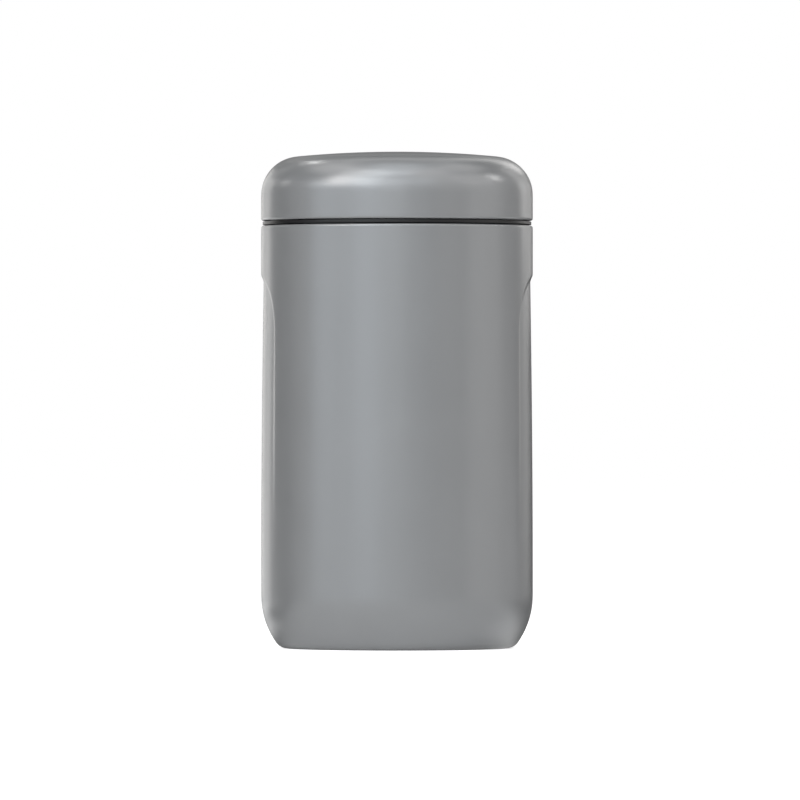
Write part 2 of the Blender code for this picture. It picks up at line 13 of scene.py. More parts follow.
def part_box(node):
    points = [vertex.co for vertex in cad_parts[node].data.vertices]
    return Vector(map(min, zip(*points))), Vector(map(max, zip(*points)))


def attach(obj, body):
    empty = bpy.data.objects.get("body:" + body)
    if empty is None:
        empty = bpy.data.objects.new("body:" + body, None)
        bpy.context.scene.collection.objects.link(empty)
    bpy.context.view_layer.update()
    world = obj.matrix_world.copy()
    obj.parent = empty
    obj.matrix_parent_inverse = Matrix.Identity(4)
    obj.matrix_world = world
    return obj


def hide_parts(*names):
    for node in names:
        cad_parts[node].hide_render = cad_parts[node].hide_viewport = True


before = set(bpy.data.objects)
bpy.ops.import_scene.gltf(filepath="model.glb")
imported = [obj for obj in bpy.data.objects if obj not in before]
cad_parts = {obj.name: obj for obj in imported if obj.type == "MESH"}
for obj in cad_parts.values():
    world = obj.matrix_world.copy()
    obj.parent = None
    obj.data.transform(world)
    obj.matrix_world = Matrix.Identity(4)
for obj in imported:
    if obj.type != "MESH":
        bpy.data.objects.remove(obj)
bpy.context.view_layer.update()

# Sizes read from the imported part
wall_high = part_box("outer_shell")[1]
cup_low, cup_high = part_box("inner_cup")
foil_low, foil_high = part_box("heat_shield")
plate_low, plate_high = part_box("outer_bottom")
cover_low, cover_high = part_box("base_cover")
holder_low, holder_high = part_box("getter_holder")
pellet_low, pellet_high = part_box("getter_pellet")
bead_low, bead_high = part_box("vacuum_seal")
gasket_low, gasket_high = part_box("lid_gasket")
cap_low, cap_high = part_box("lid_cap")
foam_low, foam_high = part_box("lid_insulation")
lid_low, lid_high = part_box("lid_shell")

# Fits between pieces, and the thickness of the painted sheet
SEAT_GAP = 0.0003
WELD_DISTANCE = 0.000001
PAINTED_SHEET = 0.0006

# Outside of the jar and the lid
BODY_RADIUS = lid_high.x
BODY_HEIGHT = cap_low.z - SEAT_GAP
SHOULDER_EDGE_RADIUS = 0.0008
LID_BOTTOM = lid_low.z
LID_TOP = lid_high.z
LID_EDGE_RADIUS = 0.0008
LID_HEM_WIDTH = 0.0018
DOME_EDGE_RADIUS = 0.013
DOME_CROWN_RADIUS = 0.356
DOME_EDGE_CENTRE = BODY_RADIUS - DOME_EDGE_RADIUS
DOME_CROWN_CENTRE = LID_TOP - DOME_CROWN_RADIUS
DOME_REACH = DOME_CROWN_RADIUS - DOME_EDGE_RADIUS
DOME_MEETING_ANGLE = math.degrees(math.acos(DOME_EDGE_CENTRE / DOME_REACH))
DOME_EDGE_HEIGHT = DOME_CROWN_CENTRE + math.sqrt(DOME_REACH**2 - DOME_EDGE_CENTRE**2)

# Curved base, and the foot that is rolled in under it
BASE_SWEEP_RADIUS = 0.0276
BASE_SWEEP_LEAN = 35
BASE_CORNER_RADIUS = 0.0047
BASE_LEAN = math.radians(BASE_SWEEP_LEAN)
BASE_TUCK = BASE_SWEEP_RADIUS * (1 - math.cos(BASE_LEAN))
BASE_HEIGHT = (BASE_SWEEP_RADIUS - BASE_CORNER_RADIUS) * math.sin(BASE_LEAN) + BASE_CORNER_RADIUS
FOOT_RADIUS = BODY_RADIUS - BASE_TUCK - BASE_CORNER_RADIUS * math.cos(BASE_LEAN)
FOOT_WIDTH = 0.0016
FOOT_INNER_RADIUS = FOOT_RADIUS - FOOT_WIDTH
FOOT_BEND_RADIUS = 0.001
FOOT_FLANGE_RADIUS = FOOT_INNER_RADIUS - FOOT_BEND_RADIUS
FOOT_FLANGE_HEIGHT = 0.0045

# Grips pressed into the wall
GRIP_TOP_DROP = 0.0162
GRIP_TOP_HEIGHT = BODY_HEIGHT - GRIP_TOP_DROP
GRIP_HALF_WIDTH = 0.0215
GRIP_ARCH_RISE = 0.0226
GRIP_ARCH_CENTRE = GRIP_TOP_HEIGHT - GRIP_ARCH_RISE
GRIP_ARCH_POWER = 2.6
GRIP_DEPTH = 0.00085
GRIP_TOP_EDGE = 0.0029
GRIP_SIDE_EDGE = 0.0019

# Neck and its two-start thread
NECK_TOP = wall_high.z
SHOULDER_WIDTH = 0.006
NECK_RADIUS = BODY_RADIUS - SHOULDER_WIDTH
NECK_FILLET_RADIUS = 0.001
THREAD_STARTS = 2
THREAD_LEAD = 0.01
THREAD_DEPTH = 0.0009
THREAD_ROOT_WIDTH = 0.0022
THREAD_CREST_WIDTH = 0.001
THREAD_SWEEP = math.radians(200)
THREAD_RUN_OUT = math.radians(22)
THREAD_FIRST_HEIGHT = 0.004
THREAD_GAP = 0.0004

# Food cup and its foil
CUP_SHEET = 0.0005
CUP_CORNER_RADIUS = 0.008
CUP_LIP_ROUND = 0.001
CUP_FLARE_DROP = 0.002
CUP_FLARE_HEIGHT = 0.004
CUP_FLARE_TOP = BODY_HEIGHT - CUP_FLARE_DROP
CUP_FLARE_BOTTOM = CUP_FLARE_TOP - CUP_FLARE_HEIGHT
THROAT_RADIUS = NECK_RADIUS - PAINTED_SHEET - SEAT_GAP
FOIL_THICKNESS = 0.00025
FOIL_CREASES = 260
FOIL_CREASE_STRETCH = 0.6

# Pieces in the foot
PLATE_SHEET = 0.0006
PLATE_BEND_RADIUS = 0.001
DIMPLE_RADIUS = 0.006
DIMPLE_RISE = 0.0015
DIMPLE_SLOPE_WIDTH = 0.0015
PUMP_HOLE_RADIUS = 0.001
SEAL_STUB_HEIGHT = 0.0005
SEAL_EDGE_TURN = -160
SEAL_FLOWS = 700
COVER_SHEET = 0.0005
COVER_BEND_RADIUS = 0.0009
COVER_STEP_INSET = 0.0074
COVER_STEP_WIDTH = 0.0016
COVER_STEP_RISE = 0.0008
HOLDER_SHEET = 0.0004

# Screw cap, its gasket and the foam on it
CAP_WALL = 0.0016
CAP_BORE = NECK_RADIUS + THREAD_DEPTH + THREAD_GAP
CAP_CORNER_RADIUS = 0.0015
FLANGE_EDGE_RADIUS = 0.00018
GASKET_WIDTH = 0.0034
GASKET_EDGE_RADIUS = 0.0005
GASKET_SUNK = 0.001
CAP_CEILING = cap_high.z - CAP_WALL - SEAT_GAP - GASKET_SUNK
FOAM_EDGE_CUT = 0.0006

# How finely the pieces are cut
FULL_TURN = 2 * math.pi
COLUMNS = 180
GRIP_SECTOR = math.radians(60)
GRIP_SECTOR_COLUMNS = 80
PLAIN_SECTOR_COLUMNS = 60
SIXTH_TURN = ((FULL_TURN / 6, COLUMNS // 6),)
SMALL_COLUMNS = 64
SMALL_QUARTER_TURN = ((FULL_TURN / 4, SMALL_COLUMNS // 4),)
HOLDING_DISTANCE = 0.00015
ROW_TOLERANCE = 0.00001
SHARP_ANGLE = math.radians(50)


class Outline:
    """A section through the axis, drawn by its moving tip and then turned into a solid."""

    def __init__(self, across, height, bare=0.0):
        self.mesh = bmesh.new()
        self.bare_layer = self.mesh.verts.layers.float.new("bare")
        self.bare = bare
        self.tip = self.mesh.verts.new((across, 0, height))
        self.tip[self.bare_layer] = bare
        self.first = self.tip

    def step(self, place):
        """Draw straight to a place."""
        grown = bmesh.ops.extrude_vert_indiv(self.mesh, verts=[self.tip])
        self.tip = grown["verts"][0]
        self.tip.co = place
        self.tip[self.bare_layer] = self.bare

    def line(self, across, height, steps=1):
        """Draw straight to a place, with a row close to each end that holds the edge there."""
        start = self.tip.co.copy()
        end = Vector((across, 0, height))
        hold = HOLDING_DISTANCE / max((end - start).length, WELD_DISTANCE)
        shares = [step / steps for step in range(1, steps + 1)]
        if hold * steps < 1 / 3:
            shares = [hold] + shares[:-1] + [1 - hold, 1]
        for share in shares:
            self.step(start.lerp(end, share))

    def arc(self, across, height, turn, steps):
        """Swing the tip round a centre by so many degrees, anticlockwise if above zero."""
        bend = bmesh.ops.spin(
            self.mesh,
            geom=[self.tip],
            cent=(across, 0, height),
            axis=(0, -1, 0),
            angle=math.radians(turn),
            steps=steps,
        )
        self.tip = next(part for part in bend["geom_last"] if isinstance(part, bmesh.types.BMVert))
        self.mesh.verts.ensure_lookup_table()
        for vertex in self.mesh.verts[-steps:]:
            vertex[self.bare_layer] = self.bare

    def swerve(self, across, height, steps):
        """Draw an S of two equal arcs from the tip, upright at both ends."""
        start = self.tip.co.copy()
        sideways = across - start.x
        upwards = height - start.z
        lean = 2 * math.atan(abs(sideways / upwards))
        radius = abs(upwards) / 2 / math.sin(lean)
        side = math.copysign(radius, sideways)
        turn = math.degrees(math.copysign(lean, -sideways * upwards))
        self.arc(start.x + side, start.z, turn, steps)
        self.arc(across - side, height, -turn, steps)

    def turned(self, sectors=SIXTH_TURN, start=0.0):
        """Turn the section through part of a turn, and copy that part all the way round.

        A section that doesn't end on the axis is closed first.
        """
        if self.first.co.x > 0:
            self.mesh.edges.new((self.tip, self.first))
        self.rotate(self.mesh.verts, start)
        section = self.mesh.verts[:] + self.mesh.edges[:]
        for angle, steps in sectors:
            spun = bmesh.ops.spin(
                self.mesh, geom=section, cent=(0, 0, 0), axis=(0, 0, 1), angle=angle, steps=steps
            )
            section = spun["geom_last"]
        part = self.mesh.verts[:] + self.mesh.edges[:] + self.mesh.faces[:]
        copies = round(FULL_TURN / sum(angle for angle, steps in sectors))
        for copy in range(1, copies):
            copied = bmesh.ops.duplicate(self.mesh, geom=part)["geom"]
            vertices = [place for place in copied if isinstance(place, bmesh.types.BMVert)]
            self.rotate(vertices, FULL_TURN * copy / copies)
        bmesh.ops.remove_doubles(self.mesh, verts=self.mesh.verts, dist=WELD_DISTANCE)
        bmesh.ops.recalc_face_normals(self.mesh, faces=self.mesh.faces)
        return self.mesh

    def rotate(self, vertices, angle):
        """Turn some of the vertices about the axis."""
        matrix = Euler((0, 0, angle)).to_matrix()
        bmesh.ops.rotate(self.mesh, verts=vertices, cent=(0, 0, 0), matrix=matrix)


def smooth(share):
    """An even S-curve from 0 to 1."""
    share = min(max(share, 0), 1)
    return share * share * (3 - 2 * share)


def add_piece(name, mesh, finish, body, node):
    """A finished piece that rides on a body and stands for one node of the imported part."""
    data = bpy.data.meshes.new(name)
    mesh.to_mesh(data)
    mesh.free()
    data.shade_smooth()
    data.set_sharp_from_angle(angle=SHARP_ANGLE)
    data.materials.append(finish)
    piece = bpy.data.objects.new(name, data)
    bpy.context.scene.collection.objects.link(piece)
    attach(piece, body)
    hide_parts(node)


def arch(across, above, half_width, rise):
    """How far out a place lies in a squarish arch, whose own line is at 1."""
    powers = (across / half_width) ** GRIP_ARCH_POWER + (above / rise) ** GRIP_ARCH_POWER
    return powers ** (1 / GRIP_ARCH_POWER)


def grip_depth(place):
    """How far the wall is pressed in at a place on it."""
    across = BODY_RADIUS * math.asin(min(1, abs(place.y) / place.xy.length))
    above = max(place.z - GRIP_ARCH_CENTRE, 0)
    outer = arch(across, above, GRIP_HALF_WIDTH, GRIP_ARCH_RISE)
    if outer >= 1:
        return 0
    inner_rise = GRIP_ARCH_RISE - GRIP_TOP_EDGE
    inner = arch(across, above, GRIP_HALF_WIDTH - GRIP_SIDE_EDGE, inner_rise)
    full_height = GRIP_TOP_HEIGHT - GRIP_TOP_EDGE
    fade_share = min(max((full_height - place.z) / (full_height - BASE_HEIGHT), 0), 1)
    depth = GRIP_DEPTH * (1 - fade_share) ** 2
    if inner <= 1:
        return depth
    edge_share = (1 - outer) / ((1 - outer) + (inner - 1))
    return depth * smooth(edge_share)


def thread_share(place, first_height):
    """How much of the full thread depth stands at a place on the neck or in the cap."""
    tallest = 0
    for start in range(THREAD_STARTS):
        turn = math.atan2(place.y, place.x) - FULL_TURN * start / THREAD_STARTS
        along = turn % FULL_TURN
        if along > THREAD_SWEEP:
            continue
        away = abs(place.z - first_height - THREAD_LEAD * along / FULL_TURN)
        flank = (THREAD_ROOT_WIDTH / 2 - away) / (THREAD_ROOT_WIDTH - THREAD_CREST_WIDTH) * 2
        run_out = min(along, THREAD_SWEEP - along) / THREAD_RUN_OUT
        tallest = max(tallest, smooth(flank) * smooth(run_out))
    return tallest


def roll_thread(mesh, radius, depth, first_height):
    """Press the thread into the rows that lie at one radius; a negative depth points inwards."""
    for vertex in mesh.verts:
        if abs(vertex.co.xy.length - radius) < ROW_TOLERANCE:
            share = thread_share(vertex.co, first_height)
            flat = Vector((vertex.co.x, vertex.co.y, 0))
            vertex.co += flat.normalized() * depth * share


def add_painted_wall(finish):
    """Painted wall with its grips, curved base, rolled foot, shoulder and threaded neck."""
    fillet = NECK_RADIUS + NECK_FILLET_RADIUS
    fillet_height = BODY_HEIGHT + NECK_FILLET_RADIUS
    edge = BODY_RADIUS - SHOULDER_EDGE_RADIUS
    sweep = BODY_RADIUS - BASE_SWEEP_RADIUS
    corner_turn = 90 - BASE_SWEEP_LEAN
    inner = BODY_RADIUS - PAINTED_SHEET
    flange_inner = FOOT_FLANGE_RADIUS + PAINTED_SHEET

    wall = Outline(NECK_RADIUS, NECK_TOP, bare=1.0)
    wall.line(NECK_RADIUS, fillet_height, steps=56)
    wall.arc(fillet, fillet_height, turn=90, steps=6)
    wall.bare = 0.0
    wall.line(edge, BODY_HEIGHT)
    wall.arc(edge, BODY_HEIGHT - SHOULDER_EDGE_RADIUS, turn=-90, steps=6)
    wall.line(BODY_RADIUS, GRIP_TOP_HEIGHT + HOLDING_DISTANCE, steps=3)
    wall.line(BODY_RADIUS, GRIP_ARCH_CENTRE, steps=56)
    wall.line(BODY_RADIUS, BASE_HEIGHT, steps=28)
    wall.arc(sweep, BASE_HEIGHT, turn=-BASE_SWEEP_LEAN, steps=10)
    wall.arc(FOOT_RADIUS, BASE_CORNER_RADIUS, turn=-corner_turn, steps=9)
    wall.line(FOOT_INNER_RADIUS, 0)
    wall.arc(FOOT_INNER_RADIUS, FOOT_BEND_RADIUS, turn=-90, steps=6)
    wall.bare = 1.0
    wall.line(FOOT_FLANGE_RADIUS, FOOT_FLANGE_HEIGHT)
    wall.line(flange_inner, FOOT_FLANGE_HEIGHT)
    wall.line(flange_inner, FOOT_BEND_RADIUS)
    wall.arc(FOOT_INNER_RADIUS, FOOT_BEND_RADIUS, turn=90, steps=3)
    wall.line(FOOT_RADIUS, PAINTED_SHEET)
    wall.arc(FOOT_RADIUS, BASE_CORNER_RADIUS, turn=corner_turn, steps=4)
    wall.arc(sweep, BASE_HEIGHT, turn=BASE_SWEEP_LEAN, steps=4)
    wall.line(inner, GRIP_ARCH_CENTRE, steps=12)
    wall.line(inner, GRIP_TOP_HEIGHT, steps=20)
    wall.line(inner, BODY_HEIGHT - PAINTED_SHEET)
    wall.line(fillet, BODY_HEIGHT - PAINTED_SHEET)
    wall.arc(fillet, fillet_height, turn=-90, steps=4)
    wall.line(NECK_RADIUS - PAINTED_SHEET, NECK_TOP)

    grip = (GRIP_SECTOR, GRIP_SECTOR_COLUMNS)
    plain = (math.pi - GRIP_SECTOR, PLAIN_SECTOR_COLUMNS)
    mesh = wall.turned([grip, plain], start=-GRIP_SECTOR / 2)
    for vertex in mesh.verts:
        if BASE_HEIGHT < vertex.co.z < GRIP_TOP_HEIGHT:
            flat = Vector((vertex.co.x, vertex.co.y, 0))
            vertex.co -= flat.normalized() * grip_depth(vertex.co)
    roll_thread(mesh, NECK_RADIUS, THREAD_DEPTH, BODY_HEIGHT + THREAD_FIRST_HEIGHT)
    add_piece("painted_wall", mesh, finish, "jar", "outer_shell")


def add_food_cup(finish):
    """Bare steel cup that hangs by its rolled lip on the end of the neck."""
    belly = cup_high.x
    straight_bottom = cup_low.z + CUP_CORNER_RADIUS
    corner = belly - CUP_CORNER_RADIUS
    inner_throat = THROAT_RADIUS - CUP_SHEET
    inner_belly = belly - CUP_SHEET
    lip_top = cup_high.z

    cup = Outline(0, cup_low.z, bare=1.0)
    cup.line(corner, cup_low.z, steps=6)
    cup.arc(corner, straight_bottom, turn=90, steps=8)
    cup.line(belly, CUP_FLARE_BOTTOM, steps=10)
    cup.swerve(THROAT_RADIUS, CUP_FLARE_TOP, steps=5)
    cup.line(THROAT_RADIUS, lip_top - CUP_SHEET)
    cup.line(NECK_RADIUS, lip_top - CUP_SHEET)
    cup.line(NECK_RADIUS, lip_top - CUP_SHEET / 3)
    cup.line(NECK_RADIUS - CUP_SHEET / 3, lip_top)
    cup.line(inner_throat + CUP_LIP_ROUND, lip_top)
    cup.arc(inner_throat + CUP_LIP_ROUND, lip_top - CUP_LIP_ROUND, turn=90, steps=6)
    cup.line(inner_throat, CUP_FLARE_TOP)
    cup.swerve(inner_belly, CUP_FLARE_BOTTOM, steps=5)
    cup.line(inner_belly, straight_bottom, steps=10)
    cup.arc(corner, straight_bottom, turn=-90, steps=8)
    cup.line(0, cup_low.z + CUP_SHEET, steps=6)
    add_piece("food_cup", cup.turned(), finish, "jar", "inner_cup")


def add_foil_wrap(finish):
    """Crinkled foil sleeve round the straight wall of the cup."""
    inner = foil_high.x - FOIL_THICKNESS
    foil = Outline(foil_high.x, foil_high.z, bare=1.0)
    foil.line(foil_high.x, foil_low.z, steps=50)
    foil.line(inner, foil_low.z)
    foil.line(inner, foil_high.z, steps=50)
    mesh = foil.turned()
    for vertex in mesh.verts:
        flat = Vector((vertex.co.x, vertex.co.y, 0)).normalized()
        place = Vector((vertex.co.x, vertex.co.y, vertex.co.z * FOIL_CREASE_STRETCH))
        crease = noise.noise(place * FOIL_CREASES)
        vertex.co += flat * crease * FOIL_THICKNESS / 2
    add_piece("foil_wrap", mesh, finish, "jar", "heat_shield")


def add_foot_plate(finish):
    """Plate pressed into the foot, flange down, with a raised dimple round the pump-out hole."""
    radius = plate_high.x
    top = plate_high.z - DIMPLE_RISE
    underside = top - PLATE_SHEET
    bend = radius - PLATE_BEND_RADIUS
    dimple_flat = DIMPLE_RADIUS - DIMPLE_SLOPE_WIDTH

    plate = Outline(PUMP_HOLE_RADIUS, plate_high.z, bare=1.0)
    plate.line(dimple_flat, plate_high.z)
    plate.line(DIMPLE_RADIUS, top)
    plate.line(bend, top, steps=4)
    plate.arc(bend, top - PLATE_BEND_RADIUS, turn=-90, steps=6)
    plate.line(radius, plate_low.z)
    plate.line(radius - PLATE_SHEET, plate_low.z)
    plate.line(radius - PLATE_SHEET, top - PLATE_BEND_RADIUS)
    plate.arc(bend, top - PLATE_BEND_RADIUS, turn=90, steps=4)
    plate.line(DIMPLE_RADIUS, underside, steps=4)
    plate.line(dimple_flat, underside + DIMPLE_RISE)
    plate.line(PUMP_HOLE_RADIUS, underside + DIMPLE_RISE)
    add_piece("foot_plate", plate.turned(), finish, "jar", "outer_bottom")


def add_seal_drop(finish):
    """Drop of sealing glass that has run into the dimple and plugs the pump-out hole."""
    radius = bead_high.x
    seat = bead_high.z - SEAL_STUB_HEIGHT
    height = seat - bead_low.z
    stub = PUMP_HOLE_RADIUS - SEAT_GAP
    drop = Outline(0, bead_high.z, bare=1.0)
    drop.line(stub, bead_high.z)
    drop.line(stub, seat)
    drop.line(radius - height / 2, seat)
    drop.arc(radius - height / 2, seat - height / 2, turn=SEAL_EDGE_TURN, steps=10)
    drop.line(0, bead_low.z, steps=5)
    mesh = drop.turned(SMALL_QUARTER_TURN)
    for vertex in mesh.verts:
        flow = noise.noise(Vector((vertex.co.x, vertex.co.y, 0)) * SEAL_FLOWS) * height / 12
        if vertex.co.z < seat - height / 4:
            vertex.co.z += abs(flow)
    add_piece("seal_drop", mesh, finish, "jar", "vacuum_seal")


def add_foot_cover(finish):
    """Thin dish pressed into the plate's flange, with a raised round step in its middle."""
    radius = cover_high.x
    low = cover_low.z
    bend = radius - COVER_BEND_RADIUS
    step = radius - COVER_STEP_INSET
    step_inner = step - COVER_STEP_WIDTH
    half_rise = COVER_STEP_RISE / 2
    lean = math.degrees(2 * math.atan(COVER_STEP_RISE / COVER_STEP_WIDTH))
    swing = COVER_STEP_WIDTH / 2 / math.sin(math.radians(lean))

    cover = Outline(0, low + COVER_STEP_RISE, bare=1.0)
    cover.line(step_inner, low + COVER_STEP_RISE, steps=6)
    cover.arc(step_inner, low + COVER_STEP_RISE - swing, turn=-lean, steps=4)
    cover.arc(step, low + swing, turn=lean, steps=4)
    cover.line(bend, low, steps=3)
    cover.arc(bend, low + COVER_BEND_RADIUS, turn=90, steps=6)
    cover.line(radius, cover_high.z)
    cover.line(radius - COVER_SHEET, cover_high.z)
    cover.line(radius - COVER_SHEET, low + COVER_BEND_RADIUS)
    cover.arc(bend, low + COVER_BEND_RADIUS, turn=-90, steps=4)
    cover.line(step, low + COVER_SHEET, steps=3)
    cover.line((step + step_inner) / 2, low + COVER_SHEET + half_rise)
    cover.line(step_inner, low + COVER_SHEET + COVER_STEP_RISE)
    cover.line(0, low + COVER_SHEET + COVER_STEP_RISE, steps=6)
    add_piece("foot_cover", cover.turned(), finish, "jar", "base_cover")


def set_on_centre(mesh, low, high):
    """Move a small turned piece from the axis to the middle of its node."""
    middle = (low + high) / 2
    bmesh.ops.translate(mesh, verts=mesh.verts, vec=(middle.x, middle.y, 0))
    return mesh


def add_getter(holder_finish, pellet_finish):
    """Small steel cup under the food cup, open downwards, and the pellet that it holds."""
    radius = (holder_high.x - holder_low.x) / 2
    rounding = HOLDER_SHEET
    ceiling = holder_high.z - HOLDER_SHEET
    holder = Outline(0, holder_high.z, bare=1.0)
    holder.line(radius - rounding, holder_high.z)
    holder.arc(radius - rounding, holder_high.z - rounding, turn=-90, steps=4)
    holder.line(radius, holder_low.z)
    holder.line(radius - HOLDER_SHEET, holder_low.z)
    holder.line(radius - HOLDER_SHEET, ceiling)
    holder.line(0, ceiling)
    mesh = set_on_centre(holder.turned(SMALL_QUARTER_TURN), holder_low, holder_high)
    add_piece("getter_cup", mesh, holder_finish, "jar", "getter_holder")

    radius = (pellet_high.x - pellet_low.x) / 2
    pellet = Outline(0, pellet_high.z, bare=1.0)
    pellet.line(radius - rounding, pellet_high.z)
    pellet.line(radius, pellet_high.z - rounding)
    pellet.line(radius, pellet_low.z + rounding)
    pellet.line(radius - rounding, pellet_low.z)
    pellet.line(0, pellet_low.z)
    mesh = set_on_centre(pellet.turned(SMALL_QUARTER_TURN), pellet_low, pellet_high)
    add_piece("getter_tablet", mesh, pellet_finish, "jar", "getter_pellet")


def add_seal_ring(finish):
    """Soft ring in the cap's groove that presses on the cup's lip."""
    radius = gasket_high.x
    inner = radius - GASKET_WIDTH
    low = gasket_low.z + GASKET_EDGE_RADIUS
    ring = Outline(inner, gasket_high.z, bare=1.0)
    ring.line(radius, gasket_high.z)
    ring.line(radius, low)
    ring.arc(radius - GASKET_EDGE_RADIUS, low, turn=-90, steps=6)
    ring.line(inner + GASKET_EDGE_RADIUS, gasket_low.z, steps=2)
    ring.arc(inner + GASKET_EDGE_RADIUS, low, turn=-90, steps=6)
    add_piece("seal_ring", ring.turned(), finish, "lid_seal", "lid_gasket")


def add_screw_cap(finish):
    """Threaded plastic cap inside the lid; its flange shows as the ring in the seam."""
    outer = CAP_BORE + CAP_WALL
    flange = cap_high.x
    flange_top = LID_BOTTOM - SEAT_GAP
    corner = outer - CAP_CORNER_RADIUS
    edge = flange - FLANGE_EDGE_RADIUS
    groove_inner = gasket_high.x - GASKET_WIDTH - SEAT_GAP
    groove_top = gasket_high.z + SEAT_GAP

    cap = Outline(0, cap_high.z, bare=1.0)
    cap.line(corner, cap_high.z, steps=4)
    cap.arc(corner, cap_high.z - CAP_CORNER_RADIUS, turn=-90, steps=6)
    cap.line(outer, flange_top)
    cap.line(edge, flange_top)
    cap.arc(edge, flange_top - FLANGE_EDGE_RADIUS, turn=-90, steps=4)
    cap.line(flange, cap_low.z + FLANGE_EDGE_RADIUS)
    cap.arc(edge, cap_low.z + FLANGE_EDGE_RADIUS, turn=-90, steps=4)
    cap.line(CAP_BORE + FLANGE_EDGE_RADIUS, cap_low.z)
    cap.line(CAP_BORE, cap_low.z + FLANGE_EDGE_RADIUS)
    cap.line(CAP_BORE, groove_top, steps=70)
    cap.line(groove_inner, groove_top)
    cap.line(groove_inner, CAP_CEILING)
    cap.line(0, CAP_CEILING, steps=4)
    mesh = cap.turned()
    slope = (THREAD_ROOT_WIDTH - THREAD_CREST_WIDTH) / 2 / THREAD_DEPTH
    drop = THREAD_ROOT_WIDTH - slope * (CAP_BORE - NECK_RADIUS) + THREAD_GAP
    roll_thread(mesh, CAP_BORE, -THREAD_DEPTH, BODY_HEIGHT + THREAD_FIRST_HEIGHT - drop)
    add_piece("screw_cap", mesh, finish, "lid", "lid_cap")


def add_foam_puck(finish):
    """Moulded foam between the cap and the dome, its top following the dome's inside."""
    inset = PAINTED_SHEET + SEAT_GAP
    edge_radius = DOME_EDGE_RADIUS - inset
    side_angle = math.degrees(math.acos((foam_high.x - DOME_EDGE_CENTRE) / edge_radius))
    side = edge_radius * math.sin(math.radians(side_angle))
    foam = Outline(0, foam_low.z, bare=1.0)
    foam.line(foam_high.x - FOAM_EDGE_CUT, foam_low.z, steps=4)
    foam.line(foam_high.x, foam_low.z + FOAM_EDGE_CUT)
    foam.line(foam_high.x, DOME_EDGE_HEIGHT + side)
    foam.arc(DOME_EDGE_CENTRE, DOME_EDGE_HEIGHT, turn=DOME_MEETING_ANGLE - side_angle, steps=8)
    foam.arc(0, DOME_CROWN_CENTRE, turn=90 - DOME_MEETING_ANGLE, steps=8)
    add_piece("foam_puck", foam.turned(), finish, "lid", "lid_insulation")


def add_lid_dome(finish):
    """Painted domed skin whose lower edge is hemmed in over the cap's flange."""
    inner = BODY_RADIUS - PAINTED_SHEET
    hem = BODY_RADIUS - LID_HEM_WIDTH
    rim = BODY_RADIUS - LID_EDGE_RADIUS
    dome = Outline(0, LID_TOP)
    dome.arc(0, DOME_CROWN_CENTRE, turn=DOME_MEETING_ANGLE - 90, steps=12)
    dome.arc(DOME_EDGE_CENTRE, DOME_EDGE_HEIGHT, turn=-DOME_MEETING_ANGLE, steps=24)
    dome.line(BODY_RADIUS, LID_BOTTOM + LID_EDGE_RADIUS, steps=2)
    dome.arc(rim, LID_BOTTOM + LID_EDGE_RADIUS, turn=-90, steps=6)
    dome.line(hem, LID_BOTTOM)
    dome.bare = 1.0
    dome.line(hem, LID_BOTTOM + PAINTED_SHEET)
    dome.line(inner, LID_BOTTOM + PAINTED_SHEET)
    dome.line(inner, DOME_EDGE_HEIGHT, steps=2)
    dome.arc(DOME_EDGE_CENTRE, DOME_EDGE_HEIGHT, turn=DOME_MEETING_ANGLE, steps=12)
    dome.arc(0, DOME_CROWN_CENTRE, turn=90 - DOME_MEETING_ANGLE, steps=6)
    add_piece("lid_dome", dome.turned(), finish, "lid", "lid_shell")


# Rays that show the room as it is seen
RAY_KINDS = ("Camera", "Glossy", "Transmission")


class Value:
    """A number or colour on a shader socket, which can be used in sums."""

    def __init__(self, finish, socket):
        self.finish = finish
        self.socket = socket

    def sum(self, operation, *others):
        """One Math node on this value and others."""
        return self.finish.node("Math", {"operation": operation}, dict(enumerate((self, *others))))

    def __add__(self, other):
        return self.sum("ADD", other)

    def __sub__(self, other):
        return self.sum("SUBTRACT", other)

    def __mul__(self, other):
        return self.sum("MULTIPLY", other)

    def __truediv__(self, other):
        return self.sum("DIVIDE", other)

    def __pow__(self, other):
        return self.sum("POWER", other)

    def __rsub__(self, other):
        return self.finish.node("Math", {"operation": "SUBTRACT"}, {0: other, 1: self})

    __radd__ = __add__
    __rmul__ = __mul__


